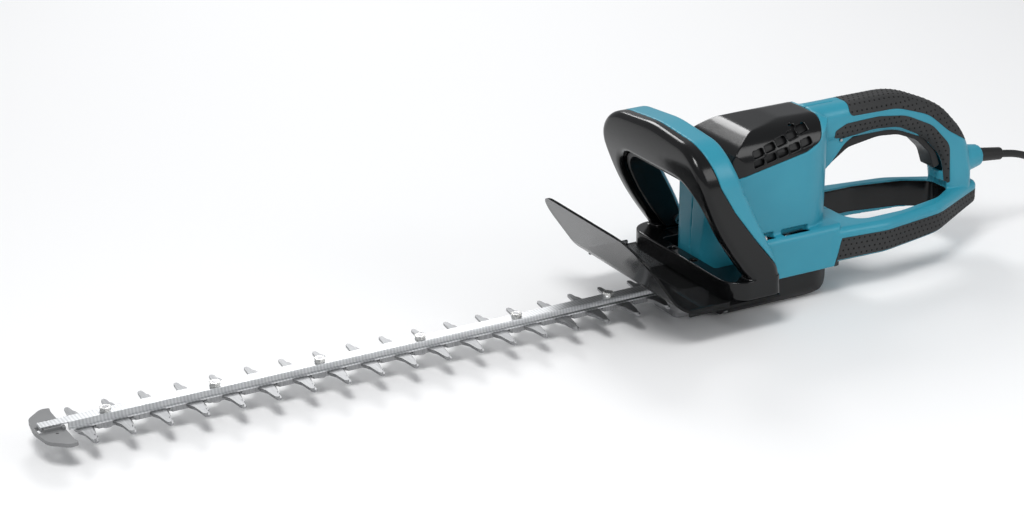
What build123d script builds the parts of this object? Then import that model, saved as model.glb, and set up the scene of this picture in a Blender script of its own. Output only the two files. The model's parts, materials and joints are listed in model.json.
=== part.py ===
from build123d import *
import os
from math import cos, pi, radians, sin, tan

# A corded hedge trimmer, in millimetres. It stands on its underside at Z = 0, with the blade along -X,
# the rear handle and the cord at +X, and the middle of its length at X = 0. Left is -Y, right is +Y.

# ---------------------------------------------------------------- driving dimensions
BLADE_Z = 22.0             # the plane where the two blades slide on each other
BLADE_THICKNESS = 2.2
BLADE_GAP = 0.03           # half of the film between the blades
BLADE_HALF_WIDTH = 12.0
TOOTH_PITCH = 35.0
TOOTH_COUNT = 18
FIRST_TOOTH_X = -482.0
TOOTH_REACH = 37.0         # from the blade's middle to a tooth's tip
BLADE_FRONT_X = -490.0
BLADE_REAR_X = 181.0
BLADE_STROKE = 14.0        # total travel of each blade
REST_OFFSET = 1.0          # each blade's teeth stand this far from the common place

BAR_BOTTOM_Z = 24.3
BAR_TOP_Z = 31.0
BAR_FRONT_X = -496.0
BAR_REAR_X = 142.0
BOLT_X = [-459.0 + 105.0 * k for k in range(6)] + [122.0]
BOLT_RADIUS = 2.5
SLEEVE_RADIUS = 3.6

MOTOR_X = 240.0
GEAR_MODULE = 1.1
PINION_TEETH = 9
GEAR_TEETH = 54
GEAR_X = MOTOR_X - GEAR_MODULE * (PINION_TEETH + GEAR_TEETH) / 2
ECCENTRICITY = BLADE_STROKE / 2
ECCENTRIC_RADIUS = 12.0
ROD_LENGTH = 33.5
ROD_PIN_X = GEAR_X - ROD_LENGTH
ROD_PIN_RADIUS = 3.0
ROD_EYE_RADIUS = ROD_PIN_RADIUS + 2 * ECCENTRICITY + 0.5
RUNNING_FIT = 0.05         # radial clearance of a shaft in its bearing

CASE_BOTTOM_Z = 9.0        # the gear case, which is split just above the blades
CASE_SPLIT_Z = 29.2
NOSE_TOP_Z = 35.2
CASE_TOP_Z = 54.0
CASE_SCREWS = [(150, 27.5), (262, 22.0), (184, 31.5)]

WALL = 2.8                 # housing wall
MOTOR_HALF_WIDTH = 46.0
SKIRT_HALF_WIDTH = 56.0
ARCH_HALF_WIDTH = 19.0
SHELL_BOTTOM_Z = 34.0      # where the blue shells end and the bottom cover starts
SKIRT_TOP_Z = 78.0
RING_BOTTOM_Z = 40.0
RING_TOP_Z = 73.5
GRIP_THICKNESS = 1.2       # how far the rubber grips are let into the shells
SHELL_SCREWS = [(283, 150), (186, 70), (345, 172), (444, 160), (497, 76), (283, 96)]
BOTTOM_SCREWS = [(178, 39.5), (290, 36)]
TRIGGER_PIVOT = (332.0, 152.0)

HANDLE_OPENING_TOP_Z = 159.0
BASE_BOTTOM_Z = 38.2
BASE_TOP_Z = 58.0
HANDLE_WALL = 3.0
HANDLE_SCREWS = [(86, 96), (88, 150), (45, 186)]
LEVER_PIVOT = (191.0, 66.0)
LEVER_THICKNESS = 5.5
LEVER_CLEARANCE = 0.7

GUARD_THICKNESS = 2.5
GUARD_HALF_WIDTH = 94.5
GUARD_Z = 35.4             # underside of the guard's tray
GUARD_SCREWS = [(153, 19), (198, 80)]

CORD_RADIUS = 4.0
CORD_EXIT = (526.0, 0.0, 97.0)
CORD_DROOP = 7.0           # degrees that the cord's exit points down
CLAMP_X = 503.5
CLAMP_SCREW_Y = 5.3
# the cord's route from inside the rear handle to the plug, point by point
CORD_ROUTE = [
    (500.0, 0.0, 100.2),
    (545.0, 0.0, 94.7),
    (594.0, 0.0, 87.0),
    (633.0, 1.0, 60.0),
    (663.0, -1.0, 26.0),
    (703.0, -10.0, 4.2),
    (744.0, -35.0, 4.2),
    (752.0, -82.0, 4.2),
    (728.0, -124.0, 8.0),
]

parts = {}


# ---------------------------------------------------------------- helpers
def outline(points, radius):
    """A closed face from corner points, with one radius or a list of corner radii."""
    return make_face(FilletPolyline(*points, radius=radius, close=True))


def across(face, low_y, high_y):
    """A face drawn in (X, Z), as a solid between two Y values."""
    return Pos(0, high_y, 0) * extrude(Plane.XZ * face, high_y - low_y)


def upright(face, low_z, high_z):
    """A face drawn in (X, Y), as a solid between two Z values."""
    return Pos(0, 0, low_z) * extrude(face, high_z - low_z)


def along(face, low_x, high_x):
    """A face drawn in (Y, Z), as a solid between two X values."""
    return Pos(low_x, 0, 0) * extrude(Plane.YZ * face, high_x - low_x)


def post(x, y, low_z, high_z, radius):
    return Pos(x, y, (low_z + high_z) / 2) * Cylinder(radius, high_z - low_z)


def ring(x, y, low_z, high_z, outer, inner):
    return post(x, y, low_z, high_z, outer) - post(x, y, low_z - 1, high_z + 1, inner)


def rod_y(x, z, low_y, high_y, radius):
    return Pos(x, (low_y + high_y) / 2, z) * Rot(90, 0, 0) * Cylinder(radius, high_y - low_y)


def block(low, high):
    size = [b - a for a, b in zip(low, high)]
    middle = [(a + b) / 2 for a, b in zip(low, high)]
    return Pos(*middle) * Box(*size)


def mirrored(shape):
    return mirror(shape, about=Plane.XZ)


def both_sides(shape):
    return shape + mirrored(shape)


def group(shapes):
    """Separate solids kept as one node."""
    solids = []
    for shape in shapes:
        solids += shape.solids()
    return Compound(children=solids)


def inset(face, distance):
    return face if distance == 0 else offset(face, amount=-distance, kind=Kind.INTERSECTION)


# ---------------------------------------------------------------- blades and guide bar
def tooth(x, side):
    """One tooth's outline: a straight front flank, a step behind the tip and a round gullet."""
    profile = [
        (-8.5, BLADE_HALF_WIDTH - 1.5),
        (-4.5, BLADE_HALF_WIDTH + 7),
        (-2.6, TOOTH_REACH - 2.0),
        (-1.2, TOOTH_REACH),
        (1.0, TOOTH_REACH),
        (2.2, TOOTH_REACH - 2.0),
        (2.9, TOOTH_REACH - 9),
        (4.6, TOOTH_REACH - 11.5),
        (6.4, BLADE_HALF_WIDTH + 2),
        (6.4, BLADE_HALF_WIDTH - 1.5),
    ]
    return [(x + dx, side * y) for dx, y in profile]


def blade_face(shift):
    """A blade's outline from above, with its teeth moved along X by shift."""
    near = []
    far = []
    for index in range(TOOTH_COUNT):
        x = FIRST_TOOTH_X + TOOTH_PITCH * index + shift
        near += tooth(x, -1)
        far += tooth(x, 1)
    front = [(BLADE_FRONT_X + 3, 9), (BLADE_FRONT_X, 6), (BLADE_FRONT_X, -6), (BLADE_FRONT_X + 3, -9)]
    neck_x = BLADE_REAR_X - 40
    rear = [(neck_x, -10.5), (BLADE_REAR_X, -10.5), (BLADE_REAR_X, 10.5), (neck_x, 10.5)]
    face = make_face(Polyline(*(front + near + rear + far[::-1]), close=True))
    for index in range(TOOTH_COUNT):
        x = FIRST_TOOTH_X + TOOTH_PITCH * index + shift + 8.6
        for side in (-1, 1):
            face -= Pos(x, side * (BLADE_HALF_WIDTH - 1.5)) * Circle(2.4)
    for x in BOLT_X:
        face -= Pos(x, 0) * SlotCenterToCenter(BLADE_STROKE + 1.0, 2 * SLEEVE_RADIUS + 0.6)
    return face


def make_blades():
    low = BLADE_Z - BLADE_GAP - BLADE_THICKNESS
    high = BLADE_Z + BLADE_GAP
    parts["lower_blade"] = upright(blade_face(REST_OFFSET), low, low + BLADE_THICKNESS)
    parts["upper_blade"] = upright(blade_face(-REST_OFFSET), high, high + BLADE_THICKNESS)
    parts["lower_blade_pin"] = post(ROD_PIN_X, 0, low - 4.4, low, ROD_PIN_RADIUS)
    top = high + BLADE_THICKNESS
    parts["upper_blade_pin"] = post(ROD_PIN_X, 0, top, top + 4.4, ROD_PIN_RADIUS)


def make_guide_bar():
    """An inverted channel with flanges, whose top strip runs out as a tongue at the tip."""
    outer = [
        (-10.5, BAR_BOTTOM_Z), (10.5, BAR_BOTTOM_Z), (10.5, 25.8), (7.6, 26.2),
        (6.4, BAR_TOP_Z), (-6.4, BAR_TOP_Z), (-7.6, 26.2), (-10.5, 25.8),
    ]
    hollow = [(-5.6, 20), (5.6, 20), (5.6, BAR_TOP_Z - 1.8), (-5.6, BAR_TOP_Z - 1.8)]
    section = make_face(Polyline(*outer, close=True))
    hollow_face = make_face(Polyline(*hollow, close=True))
    bar = along(section, BAR_FRONT_X, BAR_REAR_X) - along(hollow_face, BAR_FRONT_X - 1, BAR_REAR_X + 1)
    for x in BOLT_X:
        bar += post(x, 0, BAR_BOTTOM_Z, BAR_TOP_Z - 1, 5.0)
        bar -= post(x, 0, 20, 40, BOLT_RADIUS + 0.1)
    tongue = block((-521.0, -5.5, BAR_TOP_Z - 1.6), (BAR_FRONT_X + 1, 5.5, BAR_TOP_Z))
    hook = block((-521.0, -5.5, 26.2), (-519.6, 5.5, BAR_TOP_Z))
    parts["guide_bar"] = bar + tongue + hook


def make_bar_fasteners():
    blade_bottom = BLADE_Z - BLADE_GAP - BLADE_THICKNESS
    bolts = []
    nuts = []
    washers = []
    sleeves = []
    for x in BOLT_X:
        head = post(x, 0, blade_bottom - 4.0, blade_bottom - 1.3, 5.0)
        shank = post(x, 0, blade_bottom - 1.4, BAR_TOP_Z + 4.0, BOLT_RADIUS - 0.05)
        bolts.append(head + shank)
        hexagon = Pos(x, 0) * RegularPolygon(radius=5.6, side_count=6, rotation=15)
        nut = upright(hexagon, BAR_TOP_Z, BAR_TOP_Z + 3.9)
        nuts.append(nut - post(x, 0, 20, 40, BOLT_RADIUS))
        washers.append(ring(x, 0, blade_bottom - 1.3, blade_bottom - 0.1, 7.5, BOLT_RADIUS))
        sleeves.append(ring(x, 0, blade_bottom - 0.1, BAR_BOTTOM_Z, SLEEVE_RADIUS, BOLT_RADIUS))
    parts["bar_bolts"] = group(bolts)
    parts["bar_nuts"] = group(nuts)
    parts["bar_washers"] = group(washers)
    parts["blade_sleeves"] = group(sleeves)


def make_tip_protector():
    """The half-moon plate in front of the first teeth, held by the guide bar's tongue."""
    half_width = 40.0
    front_x = -526.35      # the corner in front, which the round takes back to -526
    rear_x = -499.5
    plate = [
        (rear_x, -31), (rear_x + 1.5, -half_width + 1), (rear_x - 7, -half_width),
        (front_x + 4, -26), (front_x, 0), (front_x + 4, 26),
        (rear_x - 7, half_width), (rear_x + 1.5, half_width - 1), (rear_x, 31),
    ]
    body = upright(outline(plate, [1, 1.5, 8, 14, 30, 14, 8, 1.5, 1]), 22.8, 26.4)
    box = block((-518.6, -8.0, 22.8), (rear_x, 8.0, BAR_TOP_Z - 1.7))
    pocket = block((-514.0, -5.6, 24.5), (rear_x + 1, 5.6, BAR_TOP_Z + 1))
    slot = block((-523.2, -6.4, 20), (-518.0, 6.4, 30))
    body = body + box - pocket - slot
    for side in (-1, 1):
        body -= post(-509.0, side * 14.0, 20, 30, 1.5)
    wing = block((rear_x - 3, 8.0, 26.4), (rear_x, 10.0, 29.0))
    parts["tip_protector"] = body + both_sides(wing)


# ---------------------------------------------------------------- gear case and drive
def gear_face(teeth, phase):
    """A spur gear's face, with straight-sided teeth that leave backlash. Phase turns it, in degrees."""
    pitch_radius = GEAR_MODULE * teeth / 2
    root = pitch_radius - 1.15 * GEAR_MODULE
    tip = pitch_radius + 0.8 * GEAR_MODULE
    step = 360 / teeth
    points = []
    for index in range(teeth):
        for radius, turn in ((root, -0.30), (tip, -0.10), (tip, 0.10), (root, 0.30)):
            angle = radians(phase + (index + turn) * step)
            points.append((radius * cos(angle), radius * sin(angle)))
    return make_face(Polyline(*points, close=True))


def case_rounds(growth):
    """The two round walls of the gear case, over the gear and over the motor shaft."""
    return Pos(GEAR_X, 0) * Circle(37 + growth) + Pos(MOTOR_X, 0) * Circle(36 + growth)


def case_plan(growth):
    """The gear case from above: its round walls and a nose for the blades."""
    nose = Pos(168, 0) * Rectangle(76 + 2 * growth, 66 + 2 * growth)
    return fillet(nose.vertices(), 10) + case_rounds(growth)


def make_gear_case():
    body = upright(case_plan(0), CASE_BOTTOM_Z, NOSE_TOP_Z)
    body += upright(case_rounds(0), NOSE_TOP_Z, CASE_TOP_Z)
    skid = outline([(131, -23), (157, -23), (157, 23), (131, 23)], 7)
    body += chamfer(upright(skid, 0, CASE_BOTTOM_Z + 1).faces().sort_by(Axis.Z)[0].edges(), 1.5)
    body += post(MOTOR_X, 0, CASE_TOP_Z, 61, 17)
    rods = Pos(168, 0) * Rectangle(68, 59) + Pos(GEAR_X, 0) * Circle(33)
    body -= upright(rods, 14.2, CASE_SPLIT_Z)
    body -= post(GEAR_X, 0, CASE_SPLIT_Z - 0.1, 39, 32.6)
    body -= post(MOTOR_X, 0, CASE_SPLIT_Z - 0.1, 46, 8)
    body -= post(MOTOR_X, 0, 20, 70, 5.5)
    body -= post(MOTOR_X, 0, 52, 70, 11)
    body -= post(GEAR_X, 0, 10, 20, 11)
    body -= post(GEAR_X, 0, 38, 46, 13)
    mouth = block((100, -13.2, 15.0), (140, 13.2, CASE_SPLIT_Z))
    channel = block((100, -11.2, 24.0), (BAR_REAR_X + 0.5, 11.2, BAR_TOP_Z + 0.05))
    body = body - mouth - channel
    moving_space = upright(Pos(GEAR_X, 0) * Circle(30) + Pos(158, 0) * Rectangle(60, 42), 14.2, 60)
    plan = upright(case_plan(0), CASE_BOTTOM_Z, NOSE_TOP_Z)
    screws = []
    for x, y in CASE_SCREWS:
        for side in (-1, 1):
            body += (post(x, side * y, CASE_BOTTOM_Z, CASE_SPLIT_Z + 5, 4.2) & plan) - moving_space
            body -= post(x, side * y, CASE_BOTTOM_Z - 1, CASE_SPLIT_Z + 4.5, 2.1)
            shank = post(x, side * y, CASE_BOTTOM_Z - 0.1, CASE_SPLIT_Z + 4, 2.0)
            screws.append(shank + post(x, side * y, CASE_BOTTOM_Z - 2.4, CASE_BOTTOM_Z, 3.6))
    x, y = GUARD_SCREWS[0]
    body -= both_sides(post(x, y, 31.4, 40, 2.0))
    split = block((100, -60, CASE_SPLIT_Z), (300, 60, 80))
    parts["gear_housing"] = body & split
    parts["gear_case_cover"] = body - split
    parts["gear_case_screws"] = group(screws)


def make_crank():
    """The crank: a shaft with two opposite eccentrics, one rod on each, and the spur gear on top."""
    lower_eccentric = post(GEAR_X, -ECCENTRICITY, 15.6, 19.3, ECCENTRIC_RADIUS)
    upper_eccentric = post(GEAR_X, ECCENTRICITY, 24.7, 28.6, ECCENTRIC_RADIUS)
    shaft = post(GEAR_X, 0, 10.4, 45.5, 4.6)
    shaft += post(GEAR_X, 0, 10.4, 15.7, 6.0) + post(GEAR_X, 0, 28.5, 45.5, 6.0)
    parts["crank_shaft"] = shaft + lower_eccentric + upper_eccentric
    gear = upright(gear_face(GEAR_TEETH, 0), 30.4, 37.4) - post(0, 0, 30, 38, 6.0)
    for angle in range(0, 360, 60):
        gear -= Rot(0, 0, angle) * post(17.5, 0, 29, 39, 5.0)
    parts["crank_gear"] = Pos(GEAR_X, 0, 0) * gear
    parts["crank_bearing_lower"] = ring(GEAR_X, 0, 10.2, 14.6, 11, 6.0 + RUNNING_FIT)
    parts["crank_bearing_upper"] = ring(GEAR_X, 0, 39.2, 45.6, 13, 6.0 + RUNNING_FIT)
    for name, side, low in (("lower_rod", -1, 15.9), ("upper_rod", 1, 25.1)):
        y = side * ECCENTRICITY
        high = low + 3.1
        web = block((ROD_PIN_X, y - 9, low), (GEAR_X, y + 9, high))
        rod = web + post(GEAR_X, y, low, high, 16) + post(ROD_PIN_X, y, low, high, ROD_EYE_RADIUS + 3.2)
        rod -= post(GEAR_X, y, low - 1, high + 1, ECCENTRIC_RADIUS + RUNNING_FIT)
        parts[name] = rod - post(ROD_PIN_X, y, low - 1, high + 1, ROD_EYE_RADIUS)


# ---------------------------------------------------------------- motor
def make_motor():
    shaft = post(MOTOR_X, 0, 29.8, 178, 4.0) + post(MOTOR_X, 0, 52.2, 66, 5.0)
    pinion = Pos(MOTOR_X, 0, 0) * upright(gear_face(PINION_TEETH, 180 + 180 / PINION_TEETH), 29.8, 45)
    parts["armature_shaft"] = shaft + pinion
    parts["armature_core"] = ring(MOTOR_X, 0, 92, 138, 20, 4.0)
    parts["armature_windings"] = group([
        ring(MOTOR_X, 0, 84, 92, 17, 4.0),
        ring(MOTOR_X, 0, 138, 147, 17, 4.0),
    ])
    bars = ring(MOTOR_X, 0, 149, 164, 11, 4.0)
    for index in range(22):
        bars -= Pos(MOTOR_X, 0, 0) * Rot(0, 0, index * 360 / 22) * block((10.3, -0.2, 148), (12, 0.2, 165))
    parts["commutator"] = bars
    fan = ring(MOTOR_X, 0, 66, 68, 33, 4.0) + ring(MOTOR_X, 0, 66, 76, 9, 4.0)
    for index in range(14):
        fan += Pos(MOTOR_X, 0, 0) * Rot(0, 0, index * 360 / 14) * block((14, -0.8, 67), (32.5, 0.8, 76))
    parts["cooling_fan"] = fan
    parts["fan_baffle"] = ring(MOTOR_X, 0, 78.5, 80.5, 42.0, 24)
    stator = ring(MOTOR_X, 0, 92, 138, 36, 20.8)
    for side in (-1, 1):
        stator -= block((MOTOR_X - 14, side * 27 - 3.2, 91), (MOTOR_X + 14, side * 27 + 3.2, 139))
    parts["stator_core"] = stator
    coils = []
    for side in (-1, 1):
        y = side * 27
        coil = block((MOTOR_X - 13.8, y - 3, 84), (MOTOR_X + 13.8, y + 3, 146))
        coils.append(coil)
    parts["field_coils"] = group(coils)
    parts["armature_bearing_lower"] = ring(MOTOR_X, 0, 54, 61, 11, 5.0 + RUNNING_FIT)
    parts["armature_bearing_upper"] = ring(MOTOR_X, 0, 168.5, 175.5, 9.5, 4.0 + RUNNING_FIT)
    bracket = ring(MOTOR_X, 0, 166, 169, 40, 7)
    bracket += ring(MOTOR_X, 0, 168, 176, 13, 9.5)
    for side in (-1, 1):
        bracket -= block((MOTOR_X - 7.2, side * 26 - 13, 160), (MOTOR_X + 7.2, side * 26 + 14.5, 166.2))
    bracket -= post(MOTOR_X, 0, 168.5, 190, 9.5)
    parts["bearing_bracket"] = bracket
    holders = []
    brushes = []
    for side in (-1, 1):
        tube = block((MOTOR_X - 6, side * 24.5 - 11, 150), (MOTOR_X + 6, side * 24.5 + 11, 162))
        bore = block((MOTOR_X - 3.6, side * 24.5 - 12, 152.5), (MOTOR_X + 3.6, side * 24.5 + 12, 159.5))
        holders.append(tube - bore)
        y = side * 18.5
        brushes.append(block((MOTOR_X - 3.4, y - 7.3, 152.7), (MOTOR_X + 3.4, y + 7.3, 159.3)))
    parts["brush_holders"] = group(holders)
    parts["carbon_brushes"] = group(brushes)


# ---------------------------------------------------------------- housing forms
def motor_form(distance):
    """The block around the upright motor, from three outlines: side, plan and front."""
    side = outline(
        [(165, 20), (161, 62), (164, 130), (184, 172), (208, 186), (250, 190.5), (298, 190), (312, 174),
         (311, 120), (308, 20)],
        [0, 40, 60, 30, 30, 80, 20, 10, 60, 0],
    )
    plan = outline([(160, -46), (312, -46), (312, 46), (160, 46)], [38, 42, 42, 38])
    front = outline([(-46, 10), (-46, 191), (46, 191), (46, 10)], [0, 36, 36, 0])
    solid = across(inset(side, distance), -60, 60) & upright(inset(plan, distance), SHELL_BOTTOM_Z, 200)
    return solid & along(inset(front, distance), 100, 400)


def skirt_form(distance):
    """The wider band around the gear case, behind the front handle's feet."""
    plan = outline([(208, -SKIRT_HALF_WIDTH), (310, -SKIRT_HALF_WIDTH), (310, SKIRT_HALF_WIDTH),
                    (208, SKIRT_HALF_WIDTH)], [12, 8, 8, 12])
    front = outline([(-56, 10), (-56, SKIRT_TOP_Z), (56, SKIRT_TOP_Z), (56, 10)], [0, 7, 7, 0])
    return upright(inset(plan, distance), SHELL_BOTTOM_Z, 90) & along(inset(front, distance), 200, 400)


def arch_path():
    """The middle of the rear handle's arch, from inside the motor block to the flat loop."""
    return FilletPolyline((292, 0, 170), (404, 0, 170), (452, 0, 150), (483, 0, 118), (490, 0, 84),
                          (489, 0, 52), radius=[90, 60, 60, 60])


def arch_form(distance):
    """The rear handle's arch: a rounded tube with a web that fills the corner above the hand."""
    width = 2 * (ARCH_HALF_WIDTH - distance)
    height = 40 - 2 * distance
    start = Plane(origin=(292, 0, 170), x_dir=(0, 1, 0), z_dir=(1, 0, 0))
    tube = sweep(start * RectangleRounded(width, height, 13 - distance), path=arch_path())
    web = outline([(300, 112), (300, 160), (352, 155), (338, 147), (321, 128)], [0, 0, 0, 12, 12])
    web_half_width = ARCH_HALF_WIDTH - 4 - distance
    return tube + across(inset(web, distance), -web_half_width, web_half_width)


def ring_outline():
    return outline(
        [(285, -55), (362, -62), (440, -50), (496, -22), (521, -10),
         (521, 10), (496, 22), (440, 50), (362, 62), (285, 55)],
        [0, 60, 60, 30, 9, 9, 30, 60, 60, 0],
    )


def ring_hole_face():
    return outline(
        [(332, -43), (395, -42.5), (450, -31), (477, -14), (477, 14), (450, 31), (395, 42.5), (332, 43)],
        [22, 60, 40, 12, 12, 40, 60, 22],
    )


def ring_form(distance):
    """The flat loop behind the motor, without its hole."""
    side = outline([(280, RING_BOTTOM_Z - 4), (420, RING_BOTTOM_Z), (530, RING_BOTTOM_Z + 7),
                    (530, RING_TOP_Z), (280, RING_TOP_Z)], [0, 200, 0, 0, 0])
    solid = upright(inset(ring_outline(), distance), 20, 90) & across(inset(side, distance), -70, 70)
    return solid if distance else fillet(solid.edges().filter_by(lambda e: e.length > 20), 7)


def exit_form(distance):
    """The boss that the cord leaves through."""
    boss = loft([
        Plane.YZ.offset(492) * Pos(0, 96) * Circle(18 - distance),
        Plane.YZ.offset(CORD_EXIT[0]) * Pos(0, CORD_EXIT[2]) * Circle(11.5 - distance),
    ])
    return boss


def ring_hole(distance):
    return upright(offset(ring_hole_face(), amount=distance), 20, RING_TOP_Z + 8)


def body_form(distance):
    body = motor_form(distance) + skirt_form(distance) + arch_form(distance) + ring_form(distance)
    return body + exit_form(distance) - ring_hole(distance)


def shell_reach(x):
    """How far the screw bosses reach to each side: less in the rear handle than in the motor block."""
    return ARCH_HALF_WIDTH - 1 if x > 325 else MOTOR_HALF_WIDTH - 1


def exit_axis():
    """The plane 6 mm inside the cord's exit, square to the way the cord leaves."""
    droop = radians(CORD_DROOP)
    return Plane(origin=(CORD_EXIT[0] - 6, 0, CORD_EXIT[2] + 6 * tan(droop)), x_dir=(0, 1, 0),
                 z_dir=(cos(droop), 0, -sin(droop)))


def trigger_face(growth):
    """The rear trigger from the side: a long bent lever that lines the arch."""
    points = [(321, 125), (345, 140.5), (383, 146), (409, 143.5), (434, 133), (452, 116), (459, 97),
              (467, 100), (459, 120), (440, 139), (412, 151.5), (383, 154), (343, 149.5), (321, 140)]
    face = outline(points, [2, 20, 60, 40, 30, 20, 2, 2, 20, 30, 40, 60, 20, 2])
    return offset(face, amount=growth) if growth else face


def motor_cover_region():
    """Where the black cover replaces the blue shells: above a rising line, ahead of the neck."""
    return outline([(140, 137), (268, 160), (286, 168), (294, 188), (300, 215), (140, 215)],
                   [0, 20, 14, 20, 0, 0])


def make_housing():
    outer = body_form(0)
    inside = rod_y(*TRIGGER_PIVOT, 12.3, 17, 4.0)
    inside += block((366, 0, 170), (378, 17, 172)) + block((498, 0, 84), (508, 10, 100))
    for x, z in SHELL_SCREWS:
        inside += rod_y(x, z, 0, shell_reach(x), 4.6)
    for x, y in BOTTOM_SCREWS:
        inside += post(x, y, SHELL_BOTTOM_Z, SHELL_BOTTOM_Z + 13, 4.4)
        inside += block((x - 1.5, y, SHELL_BOTTOM_Z), (x + 1.5, 60, SHELL_BOTTOM_Z + 13))
    shell = outer - body_form(WALL) + (both_sides(inside) & outer)
    layer = outer - body_form(GRIP_THICKNESS)

    top_face = outline([(344, 210), (338, 177), (400, 176), (442, 162), (470, 139), (500, 122), (530, 130),
                        (530, 210)], [0, 6, 60, 60, 60, 0, 0, 0])
    top_grip = layer & across(top_face, -30, 30)
    side_face = outline([(322, 164), (336, 170), (376, 171), (412, 166), (448, 149), (472, 124),
                         (477, 80), (464, 80), (450, 122), (432, 141), (404, 154.5), (372, 158),
                         (336, 153), (322, 156)], [3, 10, 60, 60, 40, 20, 2, 2, 20, 30, 40, 60, 10, 3])
    side_grip = layer & across(side_face, -30, -13)
    ring_core = upright(inset(ring_outline(), 9), 20, 90)
    ring_side = make_face(Polyline((297, 20), (308, 63.5), (540, 63.5), (540, 20), close=True))
    ring_grip = (layer & across(ring_side, -80, 80)) - ring_core - ring_hole(3)
    parts["arch_top_grip"] = top_grip
    parts["arch_side_grips"] = group([side_grip, mirrored(side_grip)])
    parts["ring_grip"] = ring_grip
    liner = upright(offset(ring_hole_face(), amount=2.0) - ring_hole_face(), 43.5, 71.5)
    parts["ring_liner"] = liner
    shell = shell - top_grip - both_sides(side_grip) - ring_grip - liner

    shell -= across(trigger_face(9.0), -11.8, 11.8)
    for x, z in SHELL_SCREWS:
        shell -= rod_y(x, z, -12, 70, 2.1)
        shell -= rod_y(x, z, shell_reach(x) - 4, 70, 4.1)
    for x, y in BOTTOM_SCREWS:
        shell -= both_sides(post(x, y, 30, SHELL_BOTTOM_Z + 12, 2.0))
    shell -= rod_y(*TRIGGER_PIVOT, -16.5, 16.5, 1.5)
    shell -= block((150, -34.5, 30), (208, 34.5, 35.8))
    axis = exit_axis()
    shell -= axis * (Pos(0, 0, -11) * Cylinder(CORD_RADIUS + 0.2, 30) + Pos(0, 0, 8) * Cylinder(8.0, 20))
    shell -= axis * (Pos(0, 0, -1) * Cylinder(10.2, 3.2))
    shell -= both_sides(post(CLAMP_X, CLAMP_SCREW_Y, 90, 104, 1.05))
    cover_zone = across(motor_cover_region(), -60, 60)
    cover = shell & cover_zone
    shell -= across(offset(motor_cover_region(), amount=0.15), -60, 60)
    for column in range(5):
        for row in range(2):
            z = 158 + 9.4 * row + (2.8 + 0.6 * row) * column
            slot = Pos(210 + 14.5 * column, z) * Rot(0, 0, 12) * RectangleRounded(12.2, 7.0, 1.2)
            cover -= across(slot, -60, 60)
    parts["motor_cover"] = cover - both_sides(post(258, 30, 165, 210, 3.4))
    for x in (214, 256):
        shell -= both_sides(block((x - 16, 44, 72), (x + 16, 51, 82)))
    left = block((100, -100, 0), (600, 0, 260))
    parts["housing_left"] = shell & left
    parts["housing_right"] = shell - left
    screws = []
    for x, z in SHELL_SCREWS:
        head_y = shell_reach(x) - 4
        screws.append(rod_y(x, z, -11.8, head_y, 2.0) + rod_y(x, z, head_y, head_y + 2.6, 3.9))
    parts["housing_screws"] = group(screws)


# ---------------------------------------------------------------- bottom cover and its screws
def bottom_form(distance):
    side = outline([(160, 60), (160, 13), (175, 0), (276, 0), (304, 11), (311, 60)], [0, 10, 12, 40, 14, 0])
    plan = outline([(159, -45.5), (312, -45.5), (312, 45.5), (159, 45.5)], [24, 30, 30, 24])
    front = outline([(-45.5, 60), (-45.5, 0), (45.5, 0), (45.5, 60)], [0, 13, 13, 0])
    solid = across(inset(side, distance), -60, 60) & along(inset(front, distance), 100, 400)
    return solid & upright(inset(plan, distance), -5, SHELL_BOTTOM_Z - 0.2)


def make_bottom_cover():
    cover = bottom_form(0) - bottom_form(3.0)
    posts = []
    screws = []
    for x, y in BOTTOM_SCREWS:
        for side in (-1, 1):
            posts.append(post(x, side * y, 4, SHELL_BOTTOM_Z - 0.2, 4.6) & bottom_form(0))
            screws.append(post(x, side * y, 8, SHELL_BOTTOM_Z + 12, 1.9) + post(x, side * y, 4.5, 8, 3.6))
    for column in posts:
        cover += column
    for x, y in BOTTOM_SCREWS:
        for side in (-1, 1):
            cover -= post(x, side * y, 4, 60, 2.0) + post(x, side * y, -1, 8, 3.8)
    cover -= block((150, -34.0, 8.2), (170, 34.0, 60))
    cover -= upright(case_plan(0.4), CASE_BOTTOM_Z - 0.4, 40)
    for x, y in CASE_SCREWS:
        cover -= both_sides(post(x, y, 6.0, 12, 4.0))
    for index in range(6):
        x = 222 + 9 * index
        cover -= both_sides(block((x, 12, -1), (x + 4, 30, 6)))
    parts["bottom_cover"] = cover
    return screws


# ---------------------------------------------------------------- front handle
def handle_band():
    """The front handle from the side: it leans forward and grows upright towards the top."""
    front = Spline((186, 38), (157, 76), (136, 108), (118, 146), (109, 175), (111, 205))
    rear = Spline((150, 205), (150, 190), (161, 155), (183, 111), (204, 66), (208, 38))
    return make_face(front + Line(front @ 1, rear @ 0) + rear + Line(rear @ 1, front @ 0))


def narrow_band(distance):
    """The handle's band made thinner by this much in front and behind."""
    band = across(handle_band(), -100, 100)
    return (Pos(distance, 0, 0) * band) & (Pos(-distance, 0, 0) * band)


def handle_hoop(growth):
    """The front handle from the front, as an outer and an inner outline grown inwards."""
    outer = outline([(-95, 30), (-93, 196), (0, 204), (93, 196), (95, 30)], [0, 44, 150, 44, 0])
    inner = outline([(-75, 20), (-73, HANDLE_OPENING_TOP_Z), (73, HANDLE_OPENING_TOP_Z), (75, 20)],
                    [0, 34, 34, 0])
    return outer, (offset(inner, amount=-growth) if growth else inner)


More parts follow.
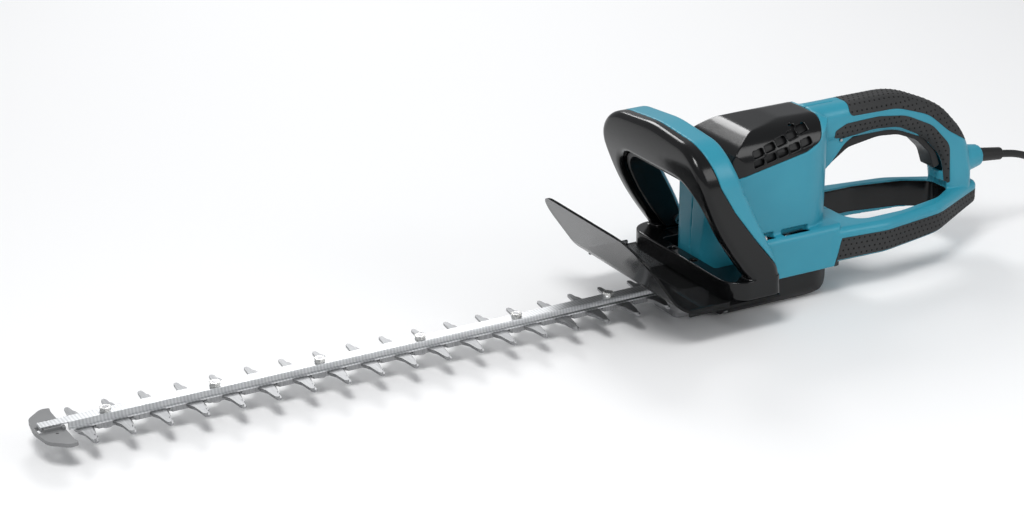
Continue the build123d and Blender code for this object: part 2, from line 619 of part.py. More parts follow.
def make_front_handle():
    outer, inner = handle_hoop(0)
    hoop = across(handle_band(), -100, 100) & along(outer - inner, 90, 220)
    hoop &= block((90, -100, BASE_BOTTOM_Z), (220, 100, 210))
    long_edges = hoop.edges().filter_by(lambda e: e.center().Z > 60 and e.length > 25)
    hoop = fillet(long_edges, 7.5)
    seam = make_face(Polyline((90, 30), (90, 215), (121, 215), (123, 196), (133, 161), (150, 133), (176, 99),
                              (207, 62), (230, 62), (230, 30), close=True))
    front_zone = across(seam, -100, 100)
    hollow_face = inset(outer, HANDLE_WALL + 0.5) - offset(inner, HANDLE_WALL)
    hollow = narrow_band(HANDLE_WALL + 1) & along(hollow_face, 90, 220)
    hollow &= block((90, -100, BASE_TOP_Z + 3), (220, 100, 198))
    for y, z in HANDLE_SCREWS:
        for side in (-1, 1):
            hollow -= Pos(0, side * y, z) * Rot(0, 90, 0) * Cylinder(4.6, 600)
    hoop -= hollow - both_sides(rod_y(*LEVER_PIVOT, 73, 97, 4.5))
    base_plan = outline([(147, -95), (207.5, -95), (207.5, 95), (147, 95)], [24, 8, 8, 24])
    base = upright(base_plan, BASE_BOTTOM_Z, BASE_TOP_Z) - block((160.0, -47, 30), (220, 47, 70))
    base -= block((176, 52, 41), (197, 68, BASE_TOP_Z + 1))
    front = hoop & front_zone
    rear = hoop - front_zone
    lever_gap = block((90, -74.9, BASE_TOP_Z), (220, 74.9, 120))
    front += base - lever_gap
    screws = []
    for y, z in HANDLE_SCREWS:
        for side in (-1, 1):
            seam_x = 150 + (133 - z) * 0.76 if z < 133 else 133 - (z - 161) * 0.29
            hole = Pos(seam_x, side * y, z) * Rot(0, 90, 0) * Cylinder(1.6, 22)
            head = Pos(seam_x + 21, side * y, z) * Rot(0, 90, 0) * Cylinder(3.4, 20)
            front -= hole
            rear = rear - hole - head
            screw = Pos(seam_x, side * y, z) * Rot(0, 90, 0) * Cylinder(1.5, 22)
            screws.append(screw + Pos(seam_x + 12.2, side * y, z) * Rot(0, 90, 0) * Cylinder(3.2, 2.4))
    pin_holes = both_sides(rod_y(*LEVER_PIVOT, 70, 83, 2.0))
    front -= pin_holes
    rear -= pin_holes
    slot = block((100, -3.5, 150), (124, 3.5, 156.9))
    parts["front_handle_front"] = front - slot
    parts["front_handle_rear"] = rear
    parts["front_handle_screws"] = group(screws)


def make_front_lever():
    """The switch lever: a hoop inside the front handle, on a pin in each leg."""
    gap_outline = handle_hoop(LEVER_CLEARANCE)[1]
    hand_outline = handle_hoop(LEVER_CLEARANCE + LEVER_THICKNESS)[1]
    lever = narrow_band(8) & along(gap_outline - hand_outline, 90, 220)
    lever &= block((90, -80, BASE_TOP_Z + 1.2), (220, 80, 200))
    lever -= both_sides(rod_y(*LEVER_PIVOT, 65, 85, 2.05))
    pin = rod_y(*LEVER_PIVOT, 68.4, 82, 2.0)
    coil = rod_y(*LEVER_PIVOT, 64.6, 67.8, 5.0) - rod_y(*LEVER_PIVOT, 60, 70, 3.0)
    parts["front_lever"] = lever
    parts["lever_pins"] = group([pin, mirrored(pin)])
    parts["lever_springs"] = group([coil, mirrored(coil)])
    switch = block((176.5, 52.5, 41.5), (196.5, 67.5, 56.0))
    parts["front_switch"] = switch + block((188, 58, 55), (191, 62, 57.4))


# ---------------------------------------------------------------- guard
def make_guard():
    """A bent clear sheet: a leaf that leans forward, and a tray under the front handle."""
    path = FilletPolyline((36.5, 0, 118), (94, 0, GUARD_Z + GUARD_THICKNESS / 2),
                          (206, 0, GUARD_Z + GUARD_THICKNESS / 2), radius=[48])
    start = Plane(origin=(36.5, 0, 118), x_dir=(0, 1, 0), z_dir=path % 0)
    sheet = sweep(start * Rectangle(2 * GUARD_HALF_WIDTH, GUARD_THICKNESS), path=path)
    face = outline([(-GUARD_HALF_WIDTH, 20), (-GUARD_HALF_WIDTH, 117), (0, 121), (GUARD_HALF_WIDTH, 117),
                    (GUARD_HALF_WIDTH, 20)], [0, 36, 150, 36, 0])
    sheet &= along(face, 0, 220)
    edge = block((100, GUARD_HALF_WIDTH - 2.5, GUARD_Z), (146, GUARD_HALF_WIDTH, GUARD_Z + 7))
    sheet += both_sides(edge)
    sheet -= block((161.0, -47, 20), (220, 47, 60))
    screws = []
    for x, y in GUARD_SCREWS:
        low_z = 31.5 if y < 40 else GUARD_Z - 1.2
        for side in (-1, 1):
            sheet -= post(x, side * y, 20, 60, 2.2)
            parts["front_handle_front"] -= post(x, side * y, 30, 55, 2.0) + post(x, side * y, 51, 60, 4.0)
            screws.append(post(x, side * y, low_z, 51, 1.9) + post(x, side * y, 51, 54, 3.6))
    parts["guard"] = sheet
    return screws


# ---------------------------------------------------------------- rear handle's inside and the cord
def make_trigger():
    x, z = TRIGGER_PIVOT
    lever = across(trigger_face(0), -11, 11)
    lever += rod_y(x, z, -11, 11, 5.0) + block((x - 4, -11, z - 9), (x + 4, 11, z - 1))
    lever -= rod_y(x, z, -12, 12, 1.5 + RUNNING_FIT)
    parts["rear_trigger"] = lever
    parts["trigger_pin"] = rod_y(x, z, -16.4, 16.4, 1.5)
    parts["trigger_spring"] = ring(372, 0, 155.6, 170, 4.0, 3.0)
    parts["rear_switch"] = block((380, -8, 163), (412, 8, 179)) + block((392, -2, 160.4), (396, 2, 163.5))
    parts["noise_capacitor"] = post(298, 0, 104, 142, 8)


def make_cord():
    corners = [Vector(*point) for point in CORD_ROUTE]
    radii = []
    for before, here, after in zip(corners, corners[1:], corners[2:]):
        turn = radians((here - before).get_angle(after - here))
        shorter = min((here - before).length, (after - here).length)
        radii.append(0.45 * shorter / tan(turn / 2))
    print("cord arc radii", [round(radius, 1) for radius in radii])
    path = FilletPolyline(*CORD_ROUTE, radius=radii)
    start = Plane(origin=CORD_ROUTE[0], z_dir=corners[1] - corners[0])
    cord = sweep(start * Circle(CORD_RADIUS), path=path)
    print("cord length", round(path.length, 1))
    print("volume over section", round(cord.volume / (pi * CORD_RADIUS**2), 1))
    parts["power_cord"] = cord
    axis = exit_axis()
    guard = Pos(0, 0, 19) * Cone(7.7, 6.7, 38) + Pos(0, 0, -1) * Cylinder(10.0, 3)
    parts["cord_guard"] = axis * (guard - Cylinder(CORD_RADIUS + 0.02, 120))
    clamp = block((CLAMP_X - 3, -7.2, 104.2), (CLAMP_X + 3, 7.2, 106))
    clamp -= both_sides(post(CLAMP_X, CLAMP_SCREW_Y, 90, 120, 1.05))
    parts["cord_clamp"] = clamp
    screws = []
    for y in (-CLAMP_SCREW_Y, CLAMP_SCREW_Y):
        screws.append(post(CLAMP_X, y, 93, 106, 1.0) + post(CLAMP_X, y, 106, 107, 1.5))
    heading = corners[-1] - corners[-2]
    heading = Vector(heading.X, heading.Y, 0).normalized()
    plug = Plane(origin=CORD_ROUTE[-1], x_dir=(heading.Y, -heading.X, 0), z_dir=heading)
    body = loft([
        plug.offset(0) * RectangleRounded(13, 12, 5),
        plug.offset(14) * RectangleRounded(22, 15, 6),
        plug.offset(38) * RectangleRounded(34, 15.6, 7),
    ])
    parts["plug_body"] = body
    pins = []
    for side in (-1, 1):
        pins.append(plug * (Pos(side * 9.3, 0, 46.5) * Cylinder(2.4, 19)))
        parts["plug_body"] -= pins[-1]
    parts["plug_pins"] = group(pins)
    return screws


# ---------------------------------------------------------------- build and write
def main():
    make_blades()
    make_guide_bar()
    make_bar_fasteners()
    make_tip_protector()
    make_gear_case()
    make_crank()
    make_motor()
    make_housing()
    cover_screws = make_bottom_cover()
    make_front_handle()
    make_front_lever()
    cover_screws += make_guard() + make_cord()
    parts["cover_screws"] = group(cover_screws)
    make_trigger()
    os.makedirs("parts", exist_ok=True)
    for name, shape in parts.items():
        export_step(shape, f"parts/{name}.step")


if __name__ == "__main__":
    main()
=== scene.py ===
import json
import math

import bmesh
import bpy
from mathutils import Matrix, Vector
from mathutils.bvhtree import BVHTree

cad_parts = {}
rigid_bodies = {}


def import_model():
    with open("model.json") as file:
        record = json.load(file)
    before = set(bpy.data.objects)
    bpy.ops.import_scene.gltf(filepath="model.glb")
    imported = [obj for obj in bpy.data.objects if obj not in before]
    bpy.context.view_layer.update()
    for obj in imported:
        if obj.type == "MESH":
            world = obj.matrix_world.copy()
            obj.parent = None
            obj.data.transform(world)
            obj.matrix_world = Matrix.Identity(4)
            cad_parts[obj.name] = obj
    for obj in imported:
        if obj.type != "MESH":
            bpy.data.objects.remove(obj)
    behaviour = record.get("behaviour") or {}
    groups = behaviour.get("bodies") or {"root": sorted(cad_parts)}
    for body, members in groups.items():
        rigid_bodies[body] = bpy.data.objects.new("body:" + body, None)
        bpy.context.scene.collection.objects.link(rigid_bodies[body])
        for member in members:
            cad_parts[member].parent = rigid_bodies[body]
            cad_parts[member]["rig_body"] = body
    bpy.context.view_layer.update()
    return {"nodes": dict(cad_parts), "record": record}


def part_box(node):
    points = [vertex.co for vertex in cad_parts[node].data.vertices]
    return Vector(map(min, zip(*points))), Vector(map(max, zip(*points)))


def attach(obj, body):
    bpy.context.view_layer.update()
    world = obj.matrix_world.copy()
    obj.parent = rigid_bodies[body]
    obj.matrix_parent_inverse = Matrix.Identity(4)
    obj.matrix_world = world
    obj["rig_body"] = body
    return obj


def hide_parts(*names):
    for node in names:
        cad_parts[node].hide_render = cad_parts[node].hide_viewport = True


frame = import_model()
NODES = frame["nodes"]

# ---------------------------------------------------------------- sizes and places, in metres
CORD_RADIUS = 0.004
CORD_ROUTE = [
    (0.500, 0.0, 0.1002),
    (0.545, 0.0, 0.0947),
    (0.594, 0.0, 0.0870),
    (0.633, 0.001, 0.060),
    (0.663, -0.001, 0.026),
    (0.703, -0.010, 0.0042),
    (0.744, -0.035, 0.0042),
    (0.752, -0.082, 0.0042),
    (0.728, -0.124, 0.008),
]

CAMERA_PLACE = Vector((-1.0808, -1.8418, 0.9487))
CAMERA_RIGHT = Vector((0.87066, -0.49188, -0.0033))
CAMERA_BACK = Vector((-0.4549, -0.8077, 0.3752))
CAMERA_LENS = 83.6

DOT_PITCH = 0.0062         # the dark dots on the rubber grips
DOT_RADIUS = 0.0011
ROW_STEP = 0.866           # a row's distance from the next, in pitches, where rows are staggered

CROWN_REAR_X = 0.330       # the motor block's top, which is rounded more than its sides
CROWN_BOTTOM_Z = 0.172
CROWN_FADE_Z = 0.012
CROWN_HALF_WIDTH = 0.029
CROWN_FADE_Y = 0.008

SHADE_SHEET_FRONT_X = 0.206     # painted shade: dark sheets behind the motor cover's vents, arcs around a line along X
SHADE_SHEET_REAR_X = 0.276
SHADE_SHEET_AXIS_Y = 0.010
SHADE_SHEET_AXIS_Z = 0.155
SHADE_SHEET_RADIUS = 0.0322
SHADE_SHEET_THICKNESS = 0.0008
SHEET_REACH = 0.0035       # a ray that goes further than this inside the guard starts at its edge


# ---------------------------------------------------------------- camera, floor and light
def make_camera():
    data = bpy.data.cameras.new("camera")
    data.lens = CAMERA_LENS
    data.sensor_width = 36
    data.clip_end = 50
    camera = bpy.data.objects.new("camera", data)
    bpy.context.scene.collection.objects.link(camera)
    back = CAMERA_BACK.normalized()
    right = (CAMERA_RIGHT - back * CAMERA_RIGHT.dot(back)).normalized()
    up = back.cross(right)
    turn = Matrix((right, up, back)).transposed().to_4x4()
    camera.matrix_world = Matrix.Translation(CAMERA_PLACE) @ turn
    bpy.context.scene.camera = camera


def make_floor():
    bpy.ops.mesh.primitive_plane_add(size=14)
    floor = bpy.context.active_object
    floor.name = "floor"
    tree, shader = new_material("floor_paper")
    shader.inputs["Base Color"].default_value = (0.92, 0.92, 0.92, 1)
    shader.inputs["Roughness"].default_value = 0.75
    bump(tree, shader, noise(tree, 60, 3), 0.02, 0.001)
    floor.data.materials.append(MATERIALS["floor_paper"])


def make_light(name, place, target, size, power):
    data = bpy.data.lights.new(name, "AREA")
    data.size = size
    data.energy = power
    light = bpy.data.objects.new(name, data)
    bpy.context.scene.collection.objects.link(light)
    light.location = place
    light.rotation_euler = (Vector(target) - Vector(place)).to_track_quat("-Z", "Y").to_euler()


def make_studio():
    world = bpy.data.worlds.new("studio")
    world.use_nodes = True
    world.node_tree.nodes["Background"].inputs["Color"].default_value = (0.95, 0.97, 1.0, 1)
    world.node_tree.nodes["Background"].inputs["Strength"].default_value = 0.43
    bpy.context.scene.world = world
    bpy.context.scene.view_settings.view_transform = "Standard"
    middle = (0.1, 0, 0.1)
    make_light("key_light", (-0.9, -0.9, 2.2), middle, 0.8, 36)
    make_light("fill_light", (1.4, -1.8, 1.2), middle, 1.0, 10)
    make_light("back_light", (0.6, 1.8, 1.6), middle, 0.8, 17)


# ---------------------------------------------------------------- material helpers
MATERIALS = {}


def new_material(name):
    """A node material. Returns its node tree and its shader."""
    material = bpy.data.materials.new(f"{name}_finish")
    MATERIALS[name] = material
    material.use_nodes = True
    tree = material.node_tree
    return tree, tree.nodes["Principled BSDF"]


def place_node(tree):
    found = [node for node in tree.nodes if node.type == "TEX_COORD"]
    return found[0] if found else tree.nodes.new("ShaderNodeTexCoord")


def stretched(tree, scale):
    mapping = tree.nodes.new("ShaderNodeMapping")
    mapping.inputs["Scale"].default_value = scale
    tree.links.new(place_node(tree).outputs["Object"], mapping.inputs["Vector"])
    return mapping.outputs["Vector"]


def noise(tree, scale, detail, stretch=(1, 1, 1)):
    texture = tree.nodes.new("ShaderNodeTexNoise")
    texture.inputs["Scale"].default_value = scale
    texture.inputs["Detail"].default_value = detail
    tree.links.new(stretched(tree, stretch), texture.inputs["Vector"])
    return texture.outputs["Fac"]


def stripes(tree, scale, stretch, distortion=0.0):
    texture = tree.nodes.new("ShaderNodeTexWave")
    texture.inputs["Scale"].default_value = scale
    texture.inputs["Distortion"].default_value = distortion
    tree.links.new(stretched(tree, stretch), texture.inputs["Vector"])
    return texture.outputs["Fac"]


def ramp(tree, value, low, high, start=0.3, end=0.7):
    """A colour between low and high as value goes from start to end."""
    node = tree.nodes.new("ShaderNodeValToRGB")
    node.color_ramp.elements[0].position = start
    node.color_ramp.elements[1].position = end
    node.color_ramp.elements[0].color = (*low, 1)
    node.color_ramp.elements[1].color = (*high, 1)
    tree.links.new(value, node.inputs["Fac"])
    return node.outputs["Color"]


def level(tree, value, low, high):
    """A number between low and high as value goes from 0 to 1."""
    node = tree.nodes.new("ShaderNodeMapRange")
    node.inputs["To Min"].default_value = low
    node.inputs["To Max"].default_value = high
    tree.links.new(value, node.inputs["Value"])
    return node.outputs["Result"]


def bump(tree, shader, height, strength, distance):
    node = tree.nodes.new("ShaderNodeBump")
    node.inputs["Strength"].default_value = strength
    node.inputs["Distance"].default_value = distance
    tree.links.new(height, node.inputs["Height"])
    tree.links.new(node.outputs["Normal"], shader.inputs["Normal"])


# ---------------------------------------------------------------- materials
def make_moulded(name, low, high, roughness, grain, shine=0.5):
    """Moulded plastic or rubber: a fine grained skin, with a little change of colour over large areas."""
    tree, shader = new_material(name)
    tree.links.new(ramp(tree, noise(tree, 14, 3), low, high), shader.inputs["Base Color"])
    spread = level(tree, noise(tree, 180, 3), roughness - 0.06, roughness + 0.06)
    tree.links.new(spread, shader.inputs["Roughness"])
    bump(tree, shader, noise(tree, 1900, 2), grain, 0.0002)
    shader.inputs["Specular IOR Level"].default_value = shine


def make_gloss_black():
    """Polished black plastic, with faint wiping marks in its gloss."""
    tree, shader = new_material("gloss_black")
    colour = ramp(tree, noise(tree, 9, 2), (0.0012, 0.0013, 0.0015), (0.0026, 0.0028, 0.0032))
    tree.links.new(colour, shader.inputs["Base Color"])
    marks = noise(tree, 40, 6, (1, 1, 5))
    tree.links.new(level(tree, marks, 0.12, 0.26), shader.inputs["Roughness"])
    shader.inputs["Specular IOR Level"].default_value = 0.3
    shader.inputs["Coat Weight"].default_value = 0.12
    shader.inputs["Coat Roughness"].default_value = 0.08
    bump(tree, shader, noise(tree, 90, 2), 0.04, 0.0006)


def make_steel(name, low, high, roughness, stretch, scale):
    """Ground or rolled steel: fine lines across the way that it was worked."""
    tree, shader = new_material(name)
    shader.inputs["Metallic"].default_value = 1.0
    lines = noise(tree, scale, 6, stretch)
    tree.links.new(ramp(tree, lines, low, high), shader.inputs["Base Color"])
    tree.links.new(level(tree, lines, roughness - 0.08, roughness + 0.12), shader.inputs["Roughness"])
    bump(tree, shader, lines, 0.12, 0.0002)


def make_bar_steel():
    """The guide bar: pale rolled steel, with diagonal press marks on its sides."""
    tree, shader = new_material("bar_steel")
    shader.inputs["Metallic"].default_value = 1.0
    lines = stripes(tree, 95, (1, 1, 1.4), 0.6)
    tree.links.new(ramp(tree, lines, (0.54, 0.55, 0.56), (0.66, 0.67, 0.68)), shader.inputs["Base Color"])
    tree.links.new(level(tree, noise(tree, 300, 3), 0.28, 0.45), shader.inputs["Roughness"])
    bump(tree, shader, lines, 0.08, 0.0003)


def make_cast():
    tree, shader = new_material("cast_alloy")
    shader.inputs["Metallic"].default_value = 1.0
    colour = ramp(tree, noise(tree, 60, 5), (0.35, 0.35, 0.36), (0.52, 0.52, 0.53))
    tree.links.new(colour, shader.inputs["Base Color"])
    tree.links.new(level(tree, noise(tree, 700, 3), 0.45, 0.7), shader.inputs["Roughness"])
    bump(tree, shader, noise(tree, 900, 4), 0.3, 0.0004)


def make_copper():
    """Enamelled copper wire: fine turns side by side."""
    tree, shader = new_material("copper_wire")
    shader.inputs["Metallic"].default_value = 0.85
    turns = stripes(tree, 260, (0.2, 0.2, 1), 1.5)
    tree.links.new(ramp(tree, turns, (0.30, 0.10, 0.04), (0.65, 0.28, 0.12)), shader.inputs["Base Color"])
    tree.links.new(level(tree, turns, 0.3, 0.5), shader.inputs["Roughness"])
    bump(tree, shader, turns, 0.5, 0.0006)


def make_smoked(name, clearness):
    """Tinted sheet, which is see-through by its clearness, and glossier at a glancing angle."""
    tree, shader = new_material(name)
    shader.inputs["Base Color"].default_value = (0.012, 0.0125, 0.013, 1)
    tree.links.new(level(tree, noise(tree, 120, 4), 0.08, 0.2), shader.inputs["Roughness"])
    bump(tree, shader, noise(tree, 30, 2), 0.05, 0.001)
    clear = tree.nodes.new("ShaderNodeBsdfTransparent")
    clear.inputs["Color"].default_value = (clearness, clearness * 1.01, clearness * 1.02, 1)
    edge = tree.nodes.new("ShaderNodeLayerWeight")
    edge.inputs["Blend"].default_value = 0.35
    mix = tree.nodes.new("ShaderNodeMixShader")
    tree.links.new(level(tree, edge.outputs["Facing"], 0.25, 0.90), mix.inputs["Fac"])
    tree.links.new(clear.outputs["BSDF"], mix.inputs[1])
    tree.links.new(shader.outputs["BSDF"], mix.inputs[2])
    tree.links.new(mix.outputs["Shader"], tree.nodes["Material Output"].inputs["Surface"])


def make_materials():
    make_moulded("teal_plastic", (0.020, 0.250, 0.350), (0.028, 0.285, 0.390), 0.36, 0.10)
    make_moulded("black_plastic", (0.004, 0.004, 0.0045), (0.008, 0.008, 0.0085), 0.42, 0.15, 0.35)
    make_moulded("grip_rubber", (0.026, 0.0265, 0.027), (0.038, 0.0385, 0.039), 0.70, 0.30, 0.35)
    make_moulded("dot_rubber", (0.002, 0.002, 0.002), (0.004, 0.004, 0.004), 0.60, 0.10, 0.2)
    make_moulded("cord_rubber", (0.006, 0.006, 0.006), (0.011, 0.011, 0.011), 0.50, 0.20, 0.4)
    make_moulded("grey_plastic", (0.155, 0.157, 0.16), (0.205, 0.208, 0.21), 0.45, 0.15)
    make_moulded("pale_plastic", (0.52, 0.47, 0.33), (0.62, 0.56, 0.42), 0.40, 0.10)
    make_gloss_black()
    make_steel("blade_steel", (0.23, 0.233, 0.24), (0.36, 0.365, 0.37), 0.40, (14, 1, 1), 70)
    make_steel("plain_steel", (0.30, 0.30, 0.31), (0.48, 0.48, 0.49), 0.38, (1, 1, 9), 90)
    make_steel("zinc_steel", (0.62, 0.62, 0.60), (0.82, 0.82, 0.80), 0.24, (1, 1, 6), 120)
    make_steel("core_steel", (0.12, 0.12, 0.13), (0.24, 0.24, 0.25), 0.50, (1, 1, 30), 60)
    make_bar_steel()
    make_cast()
    make_copper()
    make_smoked("smoked_clear", 0.46)
    make_smoked("smoked_rim", 0.03)


# the record's material slots, and the material that each is shown in
SLOT_MATERIALS = {
    "teal_plastic": "teal_plastic",
    "black_gloss": "gloss_black",
    "black_plastic": "black_plastic",
    "grip_rubber": "grip_rubber",
    "cord_rubber": "cord_rubber",
    "smoked_clear": "smoked_clear",
    "grey_plastic": "grey_plastic",
    "pale_plastic": "pale_plastic",
    "blade_steel": "blade_steel",
    "plain_steel": "plain_steel",
    "zinc_steel": "zinc_steel",
    "core_steel": "core_steel",
    "cast_alloy": "cast_alloy",
    "copper": "copper_wire",
    "carbon": "black_plastic",
}
SHOWN_IN = {"guide_bar": "bar_steel", "ring_liner": "gloss_black"}
SLOT_OF = {part["node"]: part["material_slot"] for part in frame["record"]["subparts"]}


def paint_nodes():
    for name, node in NODES.items():
        shown = SLOT_MATERIALS[SLOT_OF[name]]
        shown = SHOWN_IN.get(name, shown)
        node.data.materials.clear()
        node.data.materials.append(MATERIALS[shown])


# ---------------------------------------------------------------- pieces made from the CAD's own shapes
def copy_of(node_name, piece_name):
    """A new mesh object with the node's shape, which takes the node's place, body and finish."""
    node = NODES[node_name]
    piece = bpy.data.objects.new(piece_name, node.data.copy())
    bpy.context.scene.collection.objects.link(piece)
    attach(piece, node["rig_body"])
    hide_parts(node_name)
    return piece


def apply_modifiers(piece):
    graph = bpy.context.evaluated_depsgraph_get()
    done = bpy.data.meshes.new_from_object(piece.evaluated_get(graph))
    piece.modifiers.clear()
    piece.data = done


def crown_weight(point):
    """1 on the top of the motor block, where its edges are rounded most, and 0 at its vents and sides."""
    if point.x > CROWN_REAR_X:
        return 0.0
    height = min(1.0, max(0.0, (point.z - CROWN_BOTTOM_Z) / CROWN_FADE_Z))
    middle = min(1.0, max(0.0, (CROWN_HALF_WIDTH - abs(point.y)) / CROWN_FADE_Y))
    return height * middle


def round_crown(piece, rounds):
    """More rounding on the motor block's top only, so that its vents and joints keep their shape."""
    crown = piece.vertex_groups.new(name="crown")
    for vertex in piece.data.vertices:
        weight = crown_weight(vertex.co)
        if weight > 0:
            crown.add([vertex.index], weight, "REPLACE")
    smooth = piece.modifiers.new("crown", "SMOOTH")
    smooth.factor = 0.5
    smooth.iterations = rounds
    smooth.vertex_group = "crown"


def softened(node_name, piece_name, voxel, rounds, crown_rounds=0, keep=0.35):
    """The node's shape as a moulding: its edges and the roots of its bosses rounded off."""
    piece = copy_of(node_name, piece_name)
    remesh = piece.modifiers.new("remesh", "REMESH")
    remesh.mode = "VOXEL"
    remesh.voxel_size = voxel
    smooth = piece.modifiers.new("smooth", "SMOOTH")
    smooth.factor = 0.5
    smooth.iterations = rounds
    if crown_rounds:
        apply_modifiers(piece)
        round_crown(piece, crown_rounds)
    thin = piece.modifiers.new("thin", "DECIMATE")
    thin.ratio = keep
    apply_modifiers(piece)
    for face in piece.data.polygons:
        face.use_smooth = True
    return piece


def bevelled(node_name, piece_name, width, segments=2):
    """The node's shape with its sharp edges broken."""
    piece = copy_of(node_name, piece_name)
    weld = piece.modifiers.new("weld", "WELD")
    weld.merge_threshold = 0.00002
    bevel = piece.modifiers.new("bevel", "BEVEL")
    bevel.width = width
    bevel.segments = segments
    bevel.limit_method = "ANGLE"
    bevel.angle_limit = math.radians(35)
    bevel.harden_normals = True
    apply_modifiers(piece)
    return piece


# ---------------------------------------------------------------- raised dots on the rubber
def add_dot(mesh, place, normal, radius):
    """A low dome with its middle at place, standing up along normal."""
    turn = normal.to_track_quat("Z", "Y").to_matrix().to_4x4()
    matrix = Matrix.Translation(place) @ turn @ Matrix.Diagonal((1, 1, 0.35, 1))
    bmesh.ops.create_uvsphere(mesh, u_segments=8, v_segments=4, radius=radius, matrix=matrix)


def surface_hit(tree, start, direction, reach=0.2):
    place, normal, _, _ = tree.ray_cast(start, direction, reach)
    return (place, normal) if place is not None and normal.dot(direction) < -0.55 else (None, None)


def dot_field(name, node_name, direction, starts, margin=0.0016):
    """Rows of dots where rays from starts meet the node, away from the edges of its surface."""
    shape = NODES[node_name].data
    tree = BVHTree.FromPolygons([v.co for v in shape.vertices], [p.vertices[:] for p in shape.polygons])
    side = direction.orthogonal().normalized()
    around = [side * margin, side.cross(direction) * margin]
    mesh = bmesh.new()
    for start in starts:
        place, normal = surface_hit(tree, start, direction)
        if place is None:
            continue
        near = [surface_hit(tree, start + sign * step, direction)[0] for step in around for sign in (-1, 1)]
        if all(other is not None and (other - place).length < 2.2 * margin for other in near):
            add_dot(mesh, place, normal, DOT_RADIUS)
    data = bpy.data.meshes.new(name)
    mesh.to_mesh(data)
    mesh.free()
    for face in data.polygons:
        face.use_smooth = True
    data.materials.append(MATERIALS["dot_rubber"])
    piece = bpy.data.objects.new(name, data)
    bpy.context.scene.collection.objects.link(piece)
    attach(piece, "root")
    return piece


def grid(low, high, fixed_axis, fixed_value):
    """Points in staggered rows over a rectangle, in the plane where one coordinate is fixed."""
    axes = [axis for axis in range(3) if axis != fixed_axis]
    rows = int((high[1] - low[1]) / (DOT_PITCH * ROW_STEP)) + 1
    columns = int((high[0] - low[0]) / DOT_PITCH) + 1
    points = []
    for row in range(rows):
        for column in range(columns):
            point = Vector((0, 0, 0))
            point[fixed_axis] = fixed_value
            point[axes[0]] = low[0] + DOT_PITCH * (column + 0.5 * (row % 2))
            point[axes[1]] = low[1] + DOT_PITCH * ROW_STEP * row
            points.append(point)
    return points


def make_dots():
    for node_name in ("ring_grip", "arch_side_grips"):
        low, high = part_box(node_name)
        for side, word in ((-1, "left"), (1, "right")):
            starts = grid((low.x, low.z), (high.x, high.z), 1, side * 0.1)
            dot_field(f"{node_name}_dots_{word}", node_name, Vector((0, -side, 0)), starts)
    low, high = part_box("arch_top_grip")
    starts = grid((low.x, low.y), (high.x, high.y), 2, 0.3)
    dot_field("arch_top_grip_dots", "arch_top_grip", Vector((0, 0, -1)), starts)
    for side, word in ((-1, "left"), (1, "right")):
        starts = grid((low.x, low.z), (high.x, high.z), 1, side * 0.1)
        dot_field(f"arch_top_grip_dots_{word}", "arch_top_grip", Vector((0, -side, 0)), starts)


# ---------------------------------------------------------------- mouldings and cut steel
def make_mouldings():
    softened("housing_left", "shell_left", 0.0009, 5, crown_rounds=60)
    softened("housing_right", "shell_right", 0.0009, 5, crown_rounds=60)
    softened("motor_cover", "cover_moulding", 0.0006, 3, crown_rounds=90)
    softened("bottom_cover", "base_moulding", 0.0009, 6)
    softened("front_handle_front", "handle_front_moulding", 0.0009, 6)
    softened("front_handle_rear", "handle_rear_moulding", 0.0008, 5)
    softened("front_lever", "lever_moulding", 0.0006, 6)
    softened("rear_trigger", "trigger_moulding", 0.0006, 8)
    softened("ring_liner", "liner_moulding", 0.0005, 4)
    softened("cord_guard", "cord_guard_moulding", 0.0005, 4)


def darken_rim(sheet):
    """Shows the sheet's narrow edges darker, where light goes through a long way of the tinted sheet."""
    mesh = sheet.data
    mesh.materials.append(MATERIALS["smoked_rim"])
    tree = BVHTree.FromPolygons([v.co for v in mesh.vertices], [p.vertices[:] for p in mesh.polygons])
    for face in mesh.polygons:
        start = face.center - face.normal * 0.00001
        place = tree.ray_cast(start, -face.normal, SHEET_REACH)[0]
        if place is None:
            face.material_index = 1


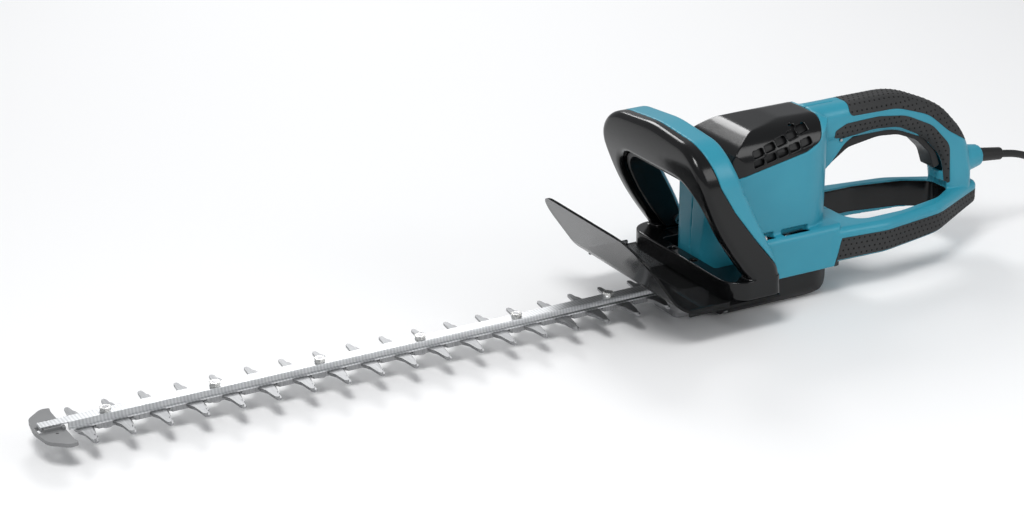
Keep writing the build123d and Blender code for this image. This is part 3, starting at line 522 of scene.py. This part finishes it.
def make_vent_shade_sheets():
    """Painted shade: dark sheets inside the motor cover, which close the view through its vents and stand
    in for the shade inside it.
    """
    angles = [math.radians(15 * step) for step in range(-2, 5)]
    for side, word in ((-1, "left"), (1, "right")):
        mesh = bmesh.new()
        rows = []
        for x in (SHADE_SHEET_FRONT_X, SHADE_SHEET_REAR_X):
            rows.append([mesh.verts.new((
                x,
                side * (SHADE_SHEET_AXIS_Y + SHADE_SHEET_RADIUS * math.cos(angle)),
                SHADE_SHEET_AXIS_Z + SHADE_SHEET_RADIUS * math.sin(angle),
            )) for angle in angles])
        for front, rear, next_front, next_rear in zip(rows[0], rows[1], rows[0][1:], rows[1][1:]):
            mesh.faces.new((front, rear, next_rear, next_front))
        data = bpy.data.meshes.new(f"vent_shade_sheet_{word}")
        mesh.to_mesh(data)
        mesh.free()
        # black, as painted shade seen through the vents
        data.materials.append(MATERIALS["black_plastic"])
        piece = bpy.data.objects.new(f"vent_shade_sheet_{word}", data)
        bpy.context.scene.collection.objects.link(piece)
        thick = piece.modifiers.new("thick", "SOLIDIFY")
        thick.thickness = SHADE_SHEET_THICKNESS
        thick.offset = 0
        apply_modifiers(piece)
        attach(piece, "root")


def make_cut_steel():
    for node_name, piece_name, width in (
        ("upper_blade", "upper_blade_ground", 0.0005),
        ("lower_blade", "lower_blade_ground", 0.0005),
        ("guide_bar", "guide_bar_pressed", 0.0004),
        ("bar_nuts", "nuts_chamfered", 0.0004),
        ("tip_protector", "tip_plate_moulded", 0.0005),
    ):
        bevelled(node_name, piece_name, width)
    darken_rim(bevelled("guard", "guard_sheet", 0.0005))


# ---------------------------------------------------------------- the cord
def make_cord():
    curve = bpy.data.curves.new("mains_lead", "CURVE")
    curve.dimensions = "3D"
    line = curve.splines.new("NURBS")
    line.points.add(len(CORD_ROUTE) - 1)
    for point, place in zip(line.points, CORD_ROUTE):
        point.co = (*place, 1)
    line.order_u = 3
    line.use_endpoint_u = True
    line.resolution_u = 16
    curve.bevel_depth = CORD_RADIUS
    curve.bevel_resolution = 6
    curve.use_fill_caps = True
    curve.materials.append(MATERIALS["cord_rubber"])
    lead = bpy.data.objects.new("mains_lead", curve)
    bpy.context.scene.collection.objects.link(lead)
    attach(lead, "root")
    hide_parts("power_cord")
    plug = softened("plug_body", "plug_moulding", 0.0007, 8)


# ---------------------------------------------------------------- build
make_materials()
make_camera()
make_floor()
make_studio()
paint_nodes()
make_cord()
make_mouldings()
make_cut_steel()
make_vent_shade_sheets()
make_dots()
